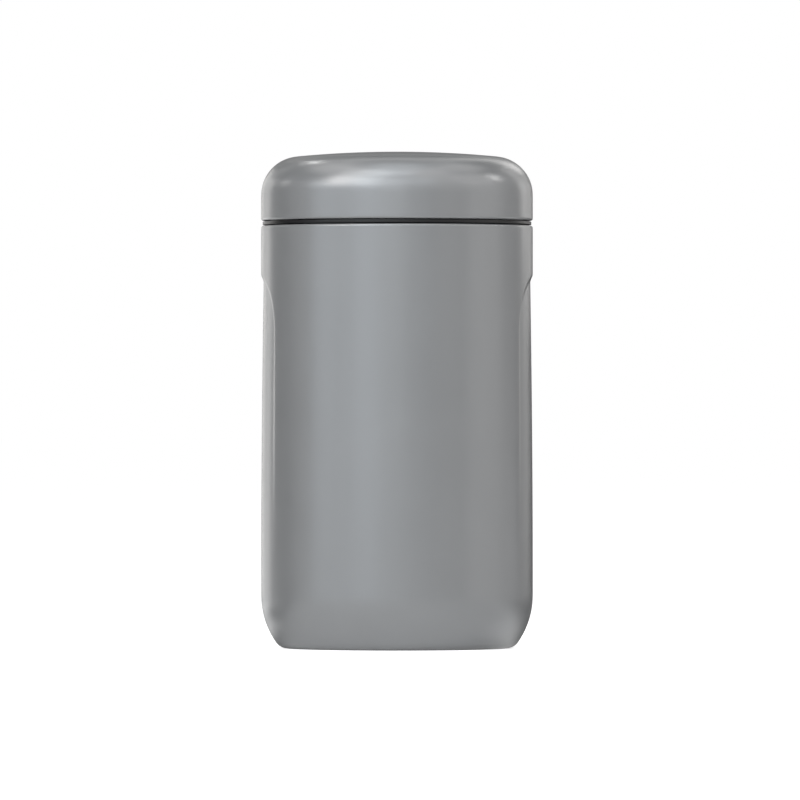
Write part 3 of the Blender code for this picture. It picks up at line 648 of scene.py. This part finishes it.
class Finish:
    """A node tree: of a material, or of the world."""

    def __init__(self, owner):
        owner.use_nodes = True
        self.owner = owner
        self.tree = owner.node_tree
        self.surface = self.tree.nodes.get("Principled BSDF")

    def node(self, kind, settings=None, inputs=None, output=0):
        """One node: its settings first, then the values or links of its sockets."""
        made = self.tree.nodes.new("ShaderNode" + kind)
        for name, setting in (settings or {}).items():
            setattr(made, name, setting)
        for name, given in (inputs or {}).items():
            self.feed(made, name, given)
        return Value(self, made.outputs[output])

    def feed(self, node, name, given):
        """Set a socket, found by its place or its name, or link a value to it."""
        if isinstance(name, int):
            socket = node.inputs[name]
        else:
            socket = next(s for s in node.inputs if name in (s.identifier, s.name))
        if isinstance(given, Value):
            self.tree.links.new(given.socket, socket)
        elif isinstance(given, tuple) and socket.type == "RGBA":
            socket.default_value = (*given, 1)
        else:
            socket.default_value = given

    def shade(self, **inputs):
        """Set or link sockets of the Principled shader, named with underscores for spaces."""
        for name, given in inputs.items():
            self.feed(self.surface, name.replace("_", " "), given)

    def place(self):
        """Object coordinates, as one vector."""
        return self.node("TexCoord", output=3)

    def parts(self, vector):
        """How far a vector reaches across, along and up."""
        parts = self.node("SeparateXYZ", inputs={0: vector}).socket.node.outputs
        return [Value(self, part) for part in parts]

    def grain(self, place, size, detail=2.0):
        """Noise from 0 to 1 whose blobs are about the given size."""
        return self.node("TexNoise", inputs={"Vector": place, "Scale": 1 / size, "Detail": detail})

    def cells(self, place, count, feature="DISTANCE_TO_EDGE"):
        """Distance from the edge or the middle of a cell, with so many cells to a metre."""
        return self.node("TexVoronoi", {"feature": feature}, {"Vector": place, "Scale": count})

    def ramp(self, value, low, high, start=0.0, end=1.0):
        """A value's share of the way from low to high, eased at both ends."""
        inputs = {"Value": value, "From Min": low, "From Max": high, "To Min": start, "To Max": end}
        return self.node("MapRange", {"interpolation_type": "SMOOTHSTEP"}, inputs)

    def blend(self, share, first, second):
        """A colour between two."""
        inputs = {"Factor_Float": share, "A_Color": first, "B_Color": second}
        return self.node("Mix", {"data_type": "RGBA"}, inputs, output=2)

    def seen(self, gloss):
        """1 for a ray from the camera or through glass, less in gloss, 0 for diffuse light."""
        rays = self.node("LightPath").socket.node.outputs
        camera, glossy, clear = (Value(self, rays[f"Is {kind} Ray"]) for kind in RAY_KINDS)
        return camera.sum("MAXIMUM", clear).sum("MAXIMUM", glossy * gloss)

    def relief(self, height):
        """A normal from a height in metres."""
        return self.node("Bump", inputs={"Height": height, "Distance": 1.0, "Strength": 1.0})


def reach(across, along):
    """The length of a level line from its two parts."""
    return (across * across + along * along) ** 0.5


def plain(name, colour, roughness, metallic=0.0):
    """A finish of one colour, to be given its detail."""
    finish = Finish(bpy.data.materials.new(name))
    finish.shade(Base_Color=colour, Roughness=roughness, Metallic=metallic)
    finish.owner.diffuse_color = (*colour, 1)
    return finish


# Paint and bare steel, which meet on one wall
PAINT_COLOUR = (0.2535, 0.256, 0.2615)
PAINT_ROUGHNESS = 0.3
PAINT_METAL = 0.35
STEEL_COLOUR = (0.62, 0.61, 0.59)

# Sizes of the grains and lines in the finishes
PAINT_CLOUD_SIZE = 0.018
PEEL_SIZE = 0.0011
DUST_SIZE = 0.0003
SCUFF_SIZE = 0.0016
SCUFF_HEIGHT = 0.0007
STEEL_CLOUD_SIZE = 0.012
COARSE_LINE_WIDTH = 0.0006
FINE_LINE_WIDTH = 0.00013
LINE_CHANGES = 3
AXIS_RADIUS = 0.00001
PLASTIC_CLOUD_SIZE = 0.006
PLASTIC_SPARK_SIZE = 0.00018
SILICONE_CLOUD_SIZE = 0.004
SILICONE_SKIN_SIZE = 0.00025
FOAM_PORE_SIZE = 0.0003
FOIL_FINE_SIZE = 0.0012
POWDER_SIZE = 0.00022
GLASS_FLOW_SIZE = 0.0014

# Cells to a metre
FOAM_BEAD_COUNT = 420.0
FOIL_FACET_COUNT = 190.0
GLASS_BUBBLE_COUNT = 1600.0

# Heights of the fine relief
PEEL_RELIEF = 0.000007
DUST_RELIEF = 0.0000004
LINE_RELIEF = 0.0000035
PLASTIC_RELIEF = 0.000009
SILICONE_RELIEF = 0.000005
BEAD_RELIEF = 0.00012
PORE_RELIEF = 0.00002
FOLD_RELIEF = 0.00009
FINE_FOLD_RELIEF = 0.00003
POWDER_RELIEF = 0.00006
PIT_RELIEF = 0.00003
FLOW_RELIEF = 0.00006


def spun_grain(finish, width):
    """Fine lines that run round the axis, as a lathe or a brush leaves them, from 0 to 1."""
    across, along, height = finish.parts(finish.place())
    radius = reach(across, along)
    safe_radius = radius.sum("MAXIMUM", AXIS_RADIUS)
    round_axis = {0: across / safe_radius * LINE_CHANGES, 1: along / safe_radius * LINE_CHANGES}
    turn = finish.node("CombineXYZ", inputs=round_axis)
    outward = finish.node("CombineXYZ", inputs={2: radius * (1 / width)})
    place = finish.node("VectorMath", {"operation": "ADD"}, {0: turn, 1: outward})
    inputs = {"Vector": place, "W": height * (1 / width), "Scale": 1.0, "Detail": 3.0}
    return finish.node("TexNoise", {"noise_dimensions": "4D"}, inputs)


def steel_look(finish):
    """Colour, roughness and relief of brushed stainless steel."""
    coarse = spun_grain(finish, COARSE_LINE_WIDTH)
    fine = spun_grain(finish, FINE_LINE_WIDTH)
    cloud = finish.grain(finish.place(), STEEL_CLOUD_SIZE)
    lines = coarse * 0.55 + fine * 0.45
    colour = finish.blend(lines * 0.85 + cloud * 0.15, (0.46, 0.45, 0.435), (0.78, 0.77, 0.75))
    roughness = lines * 0.16 + cloud * 0.08 + 0.12
    return colour, roughness, lines * LINE_RELIEF


def brushed_steel():
    """Stainless steel with brush lines that run round the axis."""
    finish = plain("brushed_steel", STEEL_COLOUR, 0.28, 1.0)
    colour, roughness, relief = steel_look(finish)
    finish.shade(Base_Color=colour, Roughness=roughness, Normal=finish.relief(relief))
    return finish.owner


def satin_paint():
    """Grey satin paint with a faint orange peel, which gives way to bare steel at neck and foot."""
    finish = plain("satin_grey_paint", PAINT_COLOUR, PAINT_ROUGHNESS, PAINT_METAL)
    place = finish.place()
    height = finish.parts(place)[2]
    bare = finish.node("Attribute", {"attribute_name": "bare"}, output=2)
    cloud = finish.grain(place, PAINT_CLOUD_SIZE)
    peel = finish.grain(place, PEEL_SIZE)
    dust = finish.grain(place, DUST_SIZE)
    worn = finish.ramp(finish.grain(place, SCUFF_SIZE), 0.5, 0.64)
    scuff = worn * finish.ramp(height, SCUFF_HEIGHT, 0.0)
    shade = cloud * 0.6 + dust * 0.4
    colour = finish.blend(shade, (0.2455, 0.248, 0.2535), (0.2615, 0.264, 0.2695))
    colour = finish.blend(scuff * 0.5, colour, (0.36, 0.36, 0.36))
    roughness = PAINT_ROUGHNESS + (cloud - 0.5) * 0.06 + (dust - 0.5) * 0.05 + scuff * 0.15
    steel_colour, steel_roughness, steel_relief = steel_look(finish)
    paint_relief = peel * PEEL_RELIEF + dust * DUST_RELIEF
    finish.shade(
        Base_Color=finish.blend(bare, colour, steel_colour),
        Roughness=roughness * (1 - bare) + steel_roughness * bare,
        Metallic=bare * (1 - PAINT_METAL) + PAINT_METAL,
        Normal=finish.relief(paint_relief * (1 - bare) + steel_relief * bare),
    )
    return finish.owner


def moulded_plastic():
    """Black plastic with the fine even grain of its mould."""
    finish = plain("black_plastic", (0.008, 0.008, 0.0085), 0.35)
    place = finish.place()
    spark = finish.grain(place, PLASTIC_SPARK_SIZE)
    cloud = finish.grain(place, PLASTIC_CLOUD_SIZE)
    shade = spark * 0.5 + cloud * 0.5
    finish.shade(
        Base_Color=finish.blend(shade, (0.004, 0.004, 0.0045), (0.011, 0.011, 0.0115)),
        Specular_IOR_Level=0.38,
        Roughness=cloud * 0.08 + spark * 0.08 + 0.27,
        Normal=finish.relief(spark * PLASTIC_RELIEF),
    )
    return finish.owner


def soft_silicone():
    """Grey silicone, slightly cloudy, with a matt skin."""
    finish = plain("grey_silicone", (0.3, 0.3, 0.3), 0.6)
    place = finish.place()
    cloud = finish.grain(place, SILICONE_CLOUD_SIZE)
    skin = finish.grain(place, SILICONE_SKIN_SIZE)
    finish.shade(
        Base_Color=finish.blend(cloud, (0.26, 0.26, 0.262), (0.34, 0.338, 0.332)),
        Roughness=skin * 0.16 + cloud * 0.08 + 0.42,
        Normal=finish.relief(skin * SILICONE_RELIEF),
    )
    return finish.owner


def bead_foam():
    """White moulded foam whose beads show as small rounded cells, with painted shade darkening the
    grooves between them.
    """
    finish = plain("white_foam", (0.8, 0.79, 0.75), 0.95)
    place = finish.place()
    bead_round_and_groove_shade = finish.ramp(finish.cells(place, FOAM_BEAD_COUNT), 0.0, 0.22)
    pores = finish.grain(place, FOAM_PORE_SIZE)
    finish.shade(
        # Darker towards each bead's edge: painted shade in the grooves between beads
        Base_Color=finish.blend(bead_round_and_groove_shade * 0.8 + pores * 0.2, (0.58, 0.57, 0.53), (0.82, 0.81, 0.78)),
        Roughness=0.9 - bead_round_and_groove_shade * 0.12,
        Normal=finish.relief(bead_round_and_groove_shade * BEAD_RELIEF + pores * PORE_RELIEF),
    )
    return finish.owner


def crinkled_foil():
    """Bright foil with creases, painted darker along them as painted shade."""
    finish = plain("bright_foil", (0.85, 0.85, 0.86), 0.2, 1.0)
    place = finish.place()
    crease_and_shade = finish.ramp(finish.cells(place, FOIL_FACET_COUNT), 0.0, 0.12)
    fine = finish.grain(place, FOIL_FINE_SIZE)
    finish.shade(
        # Darker along the creases: painted shade
        Base_Color=finish.blend(crease_and_shade, (0.66, 0.66, 0.67), (0.88, 0.88, 0.89)),
        Roughness=0.32 - crease_and_shade * 0.14 + fine * 0.05,
        Normal=finish.relief(crease_and_shade * FOLD_RELIEF + fine * FINE_FOLD_RELIEF),
    )
    return finish.owner


def pressed_sinter():
    """Dark pressed metal powder."""
    finish = plain("dark_sinter", (0.12, 0.11, 0.1), 0.8, 0.4)
    powder = finish.grain(finish.place(), POWDER_SIZE, detail=4.0)
    finish.shade(
        Base_Color=finish.blend(powder, (0.05, 0.045, 0.04), (0.2, 0.185, 0.17)),
        Roughness=powder * 0.2 + 0.65,
        Normal=finish.relief(powder * POWDER_RELIEF),
    )
    return finish.owner


def sealing_glass():
    """Sealing glass that has melted and set, with small bubbles in it, whose pits are painted darker
    as painted shade.
    """
    finish = plain("sealing_glass", (0.35, 0.33, 0.28), 0.35, 0.2)
    place = finish.place()
    pit_and_shade = finish.ramp(finish.cells(place, GLASS_BUBBLE_COUNT, feature="F1"), 0.1, 0.25)
    flow = finish.grain(place, GLASS_FLOW_SIZE)
    finish.shade(
        # Darker in the bubble pits: painted shade in the recesses
        Base_Color=finish.blend(flow * 0.7 + pit_and_shade * 0.3, (0.2, 0.185, 0.15), (0.42, 0.4, 0.35)),
        Roughness=0.36 - pit_and_shade * 0.12 + flow * 0.08,
        Normal=finish.relief(pit_and_shade * PIT_RELIEF + flow * FLOW_RELIEF),
    )
    return finish.owner


paint = satin_paint()
steel = brushed_steel()

add_painted_wall(paint)
add_food_cup(steel)
add_foil_wrap(crinkled_foil())
add_foot_plate(steel)
add_seal_drop(sealing_glass())
add_foot_cover(steel)
add_getter(steel, pressed_sinter())
add_seal_ring(soft_silicone())
add_screw_cap(moulded_plastic())
add_foam_puck(bead_foam())
add_lid_dome(paint)

# The camera: a long lens, level with the middle of the jar
CAMERA_PLACE = Vector((0.00102, -3.445, 0.078))
CAMERA_TILT = math.radians(90.1)
CAMERA_LENS = 457.75
CAMERA_SENSOR_WIDTH = 36
CAMERA_NEAR = 0.01
CAMERA_FAR = 100

camera_data = bpy.data.cameras.new("camera")
camera_data.lens = CAMERA_LENS
camera_data.sensor_width = CAMERA_SENSOR_WIDTH
camera_data.clip_start = CAMERA_NEAR
camera_data.clip_end = CAMERA_FAR
camera = bpy.data.objects.new("camera", camera_data)
camera.location = CAMERA_PLACE
camera.rotation_euler = (CAMERA_TILT, 0, 0)
bpy.context.scene.collection.objects.link(camera)
bpy.context.scene.camera = camera

# The studio: a pale floor, a white room, and soft lamps in a ring of directions
LAMP_AIM = Vector((0, 0, 0.08))
NEUTRAL = (1.0, 0.985, 0.965)
COOL = (0.915, 0.968, 1.0)
BLUISH = (0.86, 0.935, 1.0)
WORLD_GLOSS = 0.082

# The floor glows enough for the camera to see it white, and in gloss alone it is painted dark behind
# the object: a painted shadow seen in the object's lower edge
FLOOR_PALE = (0.85, 0.85, 0.85)
FLOOR_PAINTED_SHADOW = (0.12, 0.12, 0.12)
FLOOR_PAINTED_SHADOW_START = -0.03
FLOOR_PAINTED_SHADOW_END = 0.005
FLOOR_GLOW = 0.7
FLOOR_BOUNCE = 0.434
FLOOR_LIT_RADIUS = 0.3
FLOOR_WHITE_RADIUS = 1.5
FLOOR_HALF_SIZE = 30
FLOOR_DROP = 0.00005

# Painted pools of light: soft bright patches of the floor that glow in gloss alone and show as
# painted reflections low down on the object:
# across, along, half width, half length and strength
PAINTED_LIGHT_POOLS = [
    (0.0, 0.0, 0.05, 0.05, 0.65),
    (0.044, -0.017, 0.021, 0.018, 0.55),
    (0.061, -0.007, 0.03, 0.022, 0.62),
    (0.085, 0.0, 0.05, 0.03, 0.35),
    (0.15, 0.005, 0.12, 0.06, 0.64),
    (0.6, 0.2, 0.4, 0.3, 2.7),
    (-0.056, 0.014, 0.019, 0.034, 0.7),
    (-0.066, 0.04, 0.028, 0.04, 1.2),
    (-0.09, 0.09, 0.045, 0.06, 1.5),
    (-0.16, 0.2, 0.12, 0.18, 2.55),
    (-0.45, 0.78, 0.42, 0.75, 2.82),
]

# A low black card behind the object, seen only as a dark line in its lower edge
FLAG_AZIMUTH = 172
FLAG_DISTANCE = 1.0
FLAG_WIDTH = 0.36
FLAG_HEIGHT = 0.14
FLAG_COLOUR = (0.005, 0.005, 0.005)
FLAG_ROUGHNESS = 0.9

# Name, azimuth, elevation, width, height, power and colour; azimuth 0 is behind the camera
SOFT_LAMPS = [
    ("left_mid", -55, 35, 0.5, 0.6, 5.0, NEUTRAL),
    ("front_left_mid", -30, 35, 0.5, 0.6, 4.55, COOL),
    ("front_mid", -5, 35, 0.5, 0.6, 2.33, COOL),
    ("front_right_mid", 20, 36, 0.5, 0.6, 1.46, COOL),
    ("right_mid", 45, 36, 0.7, 0.6, 1.19, NEUTRAL),
    ("right_side_mid", 75, 36, 0.7, 0.6, 1.68, NEUTRAL),
    ("left_high", -55, 58, 0.5, 0.6, 2.0, NEUTRAL),
    ("front_left_high", -30, 58, 0.5, 0.6, 2.37, COOL),
    ("right_high", 45, 60, 0.7, 0.6, 1.83, NEUTRAL),
    ("back_left_high", -105, 60, 0.7, 0.6, 1.95, NEUTRAL),
    ("back_right_high", 105, 60, 0.7, 0.6, 1.66, NEUTRAL),
    ("front_low", -5, 12, 0.5, 0.6, 1.33, COOL),
    ("front_right_low", 15, 12, 0.7, 0.6, 0.905, COOL),
    ("right_low", 45, 12, 0.7, 0.6, 0.87, NEUTRAL),
    ("top", 0, 83, 0.7, 0.7, 2.41, COOL),
]
RIM_LAMPS = [
    ("left_rim_side", -140, 7.5, 0.2, 0.5, 0.71, NEUTRAL),
    ("left_rim_middle", -150, 7.5, 0.2, 0.5, 0.24, NEUTRAL),
    ("left_rim_back", -160, 7.5, 0.2, 0.5, 0.625, NEUTRAL),
    ("left_rim_high", -145, 25, 0.2, 0.5, 0.2, NEUTRAL),
    ("right_rim_side", 135, 7.5, 0.2, 0.5, 0.25, NEUTRAL),
    ("right_rim_back", 145, 7.5, 0.2, 0.5, 0.27, NEUTRAL),
    ("right_rim_high", 152, 27, 0.25, 0.35, 0.34, NEUTRAL),
]
STRIPS = [
    ("right_strip_side", 130, 26, 0.05, 0.25, 0.08, NEUTRAL),
    ("right_strip_back", 150, 22, 0.05, 0.25, 0.04, NEUTRAL),
    ("right_strip_high", 155, 42, 0.05, 0.25, 0.06, NEUTRAL),
]
CARDS = [
    ("front_left_card", -25, 5, 0.45, 1.1, 2.31, BLUISH),
    ("left_front_card", -45, 5, 0.45, 1.1, 1.45, BLUISH),
    ("left_card", -65, 5, 0.45, 1.1, 1.96, BLUISH),
    ("left_side_card", -89, 5, 0.45, 1.1, 0.42, NEUTRAL),
    ("right_card", 80, 5, 0.9, 1.1, 3.1, NEUTRAL),
    ("back_right_card", 110, 5, 0.45, 1.1, 0.65, NEUTRAL),
]
BACK_CARDS = [
    ("back_card_low", 180, 25, 1.2, 0.4, 0.57, NEUTRAL),
    ("back_card_high", 180, 62, 1.2, 0.5, 2.04, NEUTRAL),
]
GLINTS = [
    ("left_back_glint", -147, 47.5, 0.08, 0.08, 0.5, NEUTRAL),
    ("left_glint", -114, 21.9, 0.07, 0.12, 0.25, NEUTRAL),
    ("right_glint", 103, 33.5, 0.06, 0.2, 0.85, NEUTRAL),
    ("front_glint", -4, 60, 0.5, 0.25, 1.3, COOL),
    ("left_side_glint", -74, 27, 0.3, 0.3, 0.45, COOL),
]

# The distance of each group of lamps, and whether they show in gloss alone
LAMP_GROUPS = [
    (1.5, False, SOFT_LAMPS),
    (1.3, False, RIM_LAMPS),
    (0.4, False, STRIPS),
    (1.3, True, CARDS),
    (2.0, True, BACK_CARDS),
    (1.2, True, GLINTS),
]


def add_lamp(name, azimuth, elevation, distance, width, height, power, colour, card=False):
    """A soft lamp that faces the object. A card shows in gloss alone and lights nothing else."""
    turn = math.radians(azimuth)
    rise = math.radians(elevation)
    level = distance * math.cos(rise)
    offset = Vector((math.sin(turn) * level, -math.cos(turn) * level, distance * math.sin(rise)))
    data = bpy.data.lights.new(name, "AREA")
    data.shape = "RECTANGLE"
    data.size = width
    data.size_y = height
    data.energy = power
    data.color = colour
    lamp = bpy.data.objects.new(name, data)
    lamp.location = LAMP_AIM + offset
    lamp.rotation_mode = "QUATERNION"
    lamp.rotation_quaternion = (-offset).to_track_quat("-Z", "Y")
    lamp.visible_camera = False
    lamp.visible_diffuse = not card
    bpy.context.scene.collection.objects.link(lamp)


def add_stage(name, mesh, finish):
    """A floor or a card, which isn't part of the object."""
    data = bpy.data.meshes.new(name)
    mesh.to_mesh(data)
    mesh.free()
    data.materials.append(finish)
    stage = bpy.data.objects.new(name, data)
    bpy.context.scene.collection.objects.link(stage)
    return stage


def add_floor():
    """A wide level floor just under the foot."""
    mesh = bmesh.new()
    bmesh.ops.create_grid(mesh, x_segments=1, y_segments=1, size=FLOOR_HALF_SIZE)
    floor = add_stage("floor", mesh, floor_finish())
    floor.location.z = -FLOOR_DROP


def add_flag():
    """A black card that stands on the floor and shows in gloss alone."""
    turn = math.radians(FLAG_AZIMUTH)
    across = math.sin(turn) * FLAG_DISTANCE
    along = -math.cos(turn) * FLAG_DISTANCE
    mesh = bmesh.new()
    bmesh.ops.create_grid(mesh, x_segments=1, y_segments=1, size=0.5)
    bmesh.ops.scale(mesh, verts=mesh.verts, vec=(FLAG_WIDTH, FLAG_HEIGHT, 1))
    flag = add_stage("dark_flag", mesh, plain("black_card", FLAG_COLOUR, FLAG_ROUGHNESS).owner)
    flag.location = (across, along, FLAG_HEIGHT / 2)
    flag.rotation_euler = (math.pi / 2, 0, turn)
    flag.visible_camera = False
    flag.visible_diffuse = False
    flag.visible_shadow = False


def light_world(gloss):
    """A room that is white where it is seen and softer in gloss, and lights nothing else."""
    world = bpy.data.worlds.new("studio")
    bpy.context.scene.world = world
    room = Finish(world)
    background = room.tree.nodes["Background"]
    room.feed(background, "Color", (1.0, 1.0, 1.0))
    room.feed(background, "Strength", room.seen(gloss))
    world.cycles.sampling_method = "NONE"


def painted_light_pool(finish, here, light_pool):
    """The painted glow at a place on the floor from one of its soft oval patches of painted light.
    """
    across, along, half_width, half_length, strength = light_pool
    sideways = (here[0] - across) / half_width
    lengthways = (here[1] - along) / half_length
    return finish.ramp(reach(sideways, lengthways), 1.0, 0.0) * strength


def floor_finish():
    """A pale matt floor that shows white round the object's shadow, and is clear from below."""
    finish = Finish(bpy.data.materials.new("pale_floor"))
    across, along, height = finish.parts(finish.place())
    rays = finish.node("LightPath").socket.node.outputs
    glossy, diffuse = (Value(finish, rays[f"Is {kind} Ray"]) for kind in ("Glossy", "Diffuse"))
    # Painted shadow: the floor is darker behind the object for glossy rays alone
    painted_shadow_share = finish.ramp(along, FLOOR_PAINTED_SHADOW_START, FLOOR_PAINTED_SHADOW_END) * glossy
    matt = finish.node("BsdfDiffuse", inputs={"Color": finish.blend(painted_shadow_share, FLOOR_PALE, FLOOR_PAINTED_SHADOW)})
    away = reach(across, along)
    glow = finish.ramp(away, FLOOR_LIT_RADIUS, FLOOR_WHITE_RADIUS, FLOOR_GLOW, 1.0)
    # Painted pools of light on the floor, seen in gloss alone as painted reflections
    painted_pools = sum(painted_light_pool(finish, (across, along), light_pool) for light_pool in PAINTED_LIGHT_POOLS)
    light = finish.seen(0.0) * glow + diffuse * FLOOR_BOUNCE + glossy * painted_pools
    shine = finish.node("Emission", inputs={"Strength": light})
    lit = finish.node("AddShader", inputs={0: matt, 1: shine})
    under = finish.node("NewGeometry", output=6)
    clear = finish.node("BsdfTransparent")
    whole = finish.node("MixShader", inputs={0: under, 1: lit, 2: clear})
    finish.tree.links.new(whole.socket, finish.tree.nodes["Material Output"].inputs["Surface"])
    finish.owner.cycles.emission_sampling = "NONE"
    return finish.owner


add_floor()
add_flag()
light_world(WORLD_GLOSS)
for distance, card, lamps in LAMP_GROUPS:
    for name, azimuth, elevation, width, height, power, colour in lamps:
        add_lamp(name, azimuth, elevation, distance, width, height, power, colour, card)
bpy.context.scene.view_settings.view_transform = "Standard"
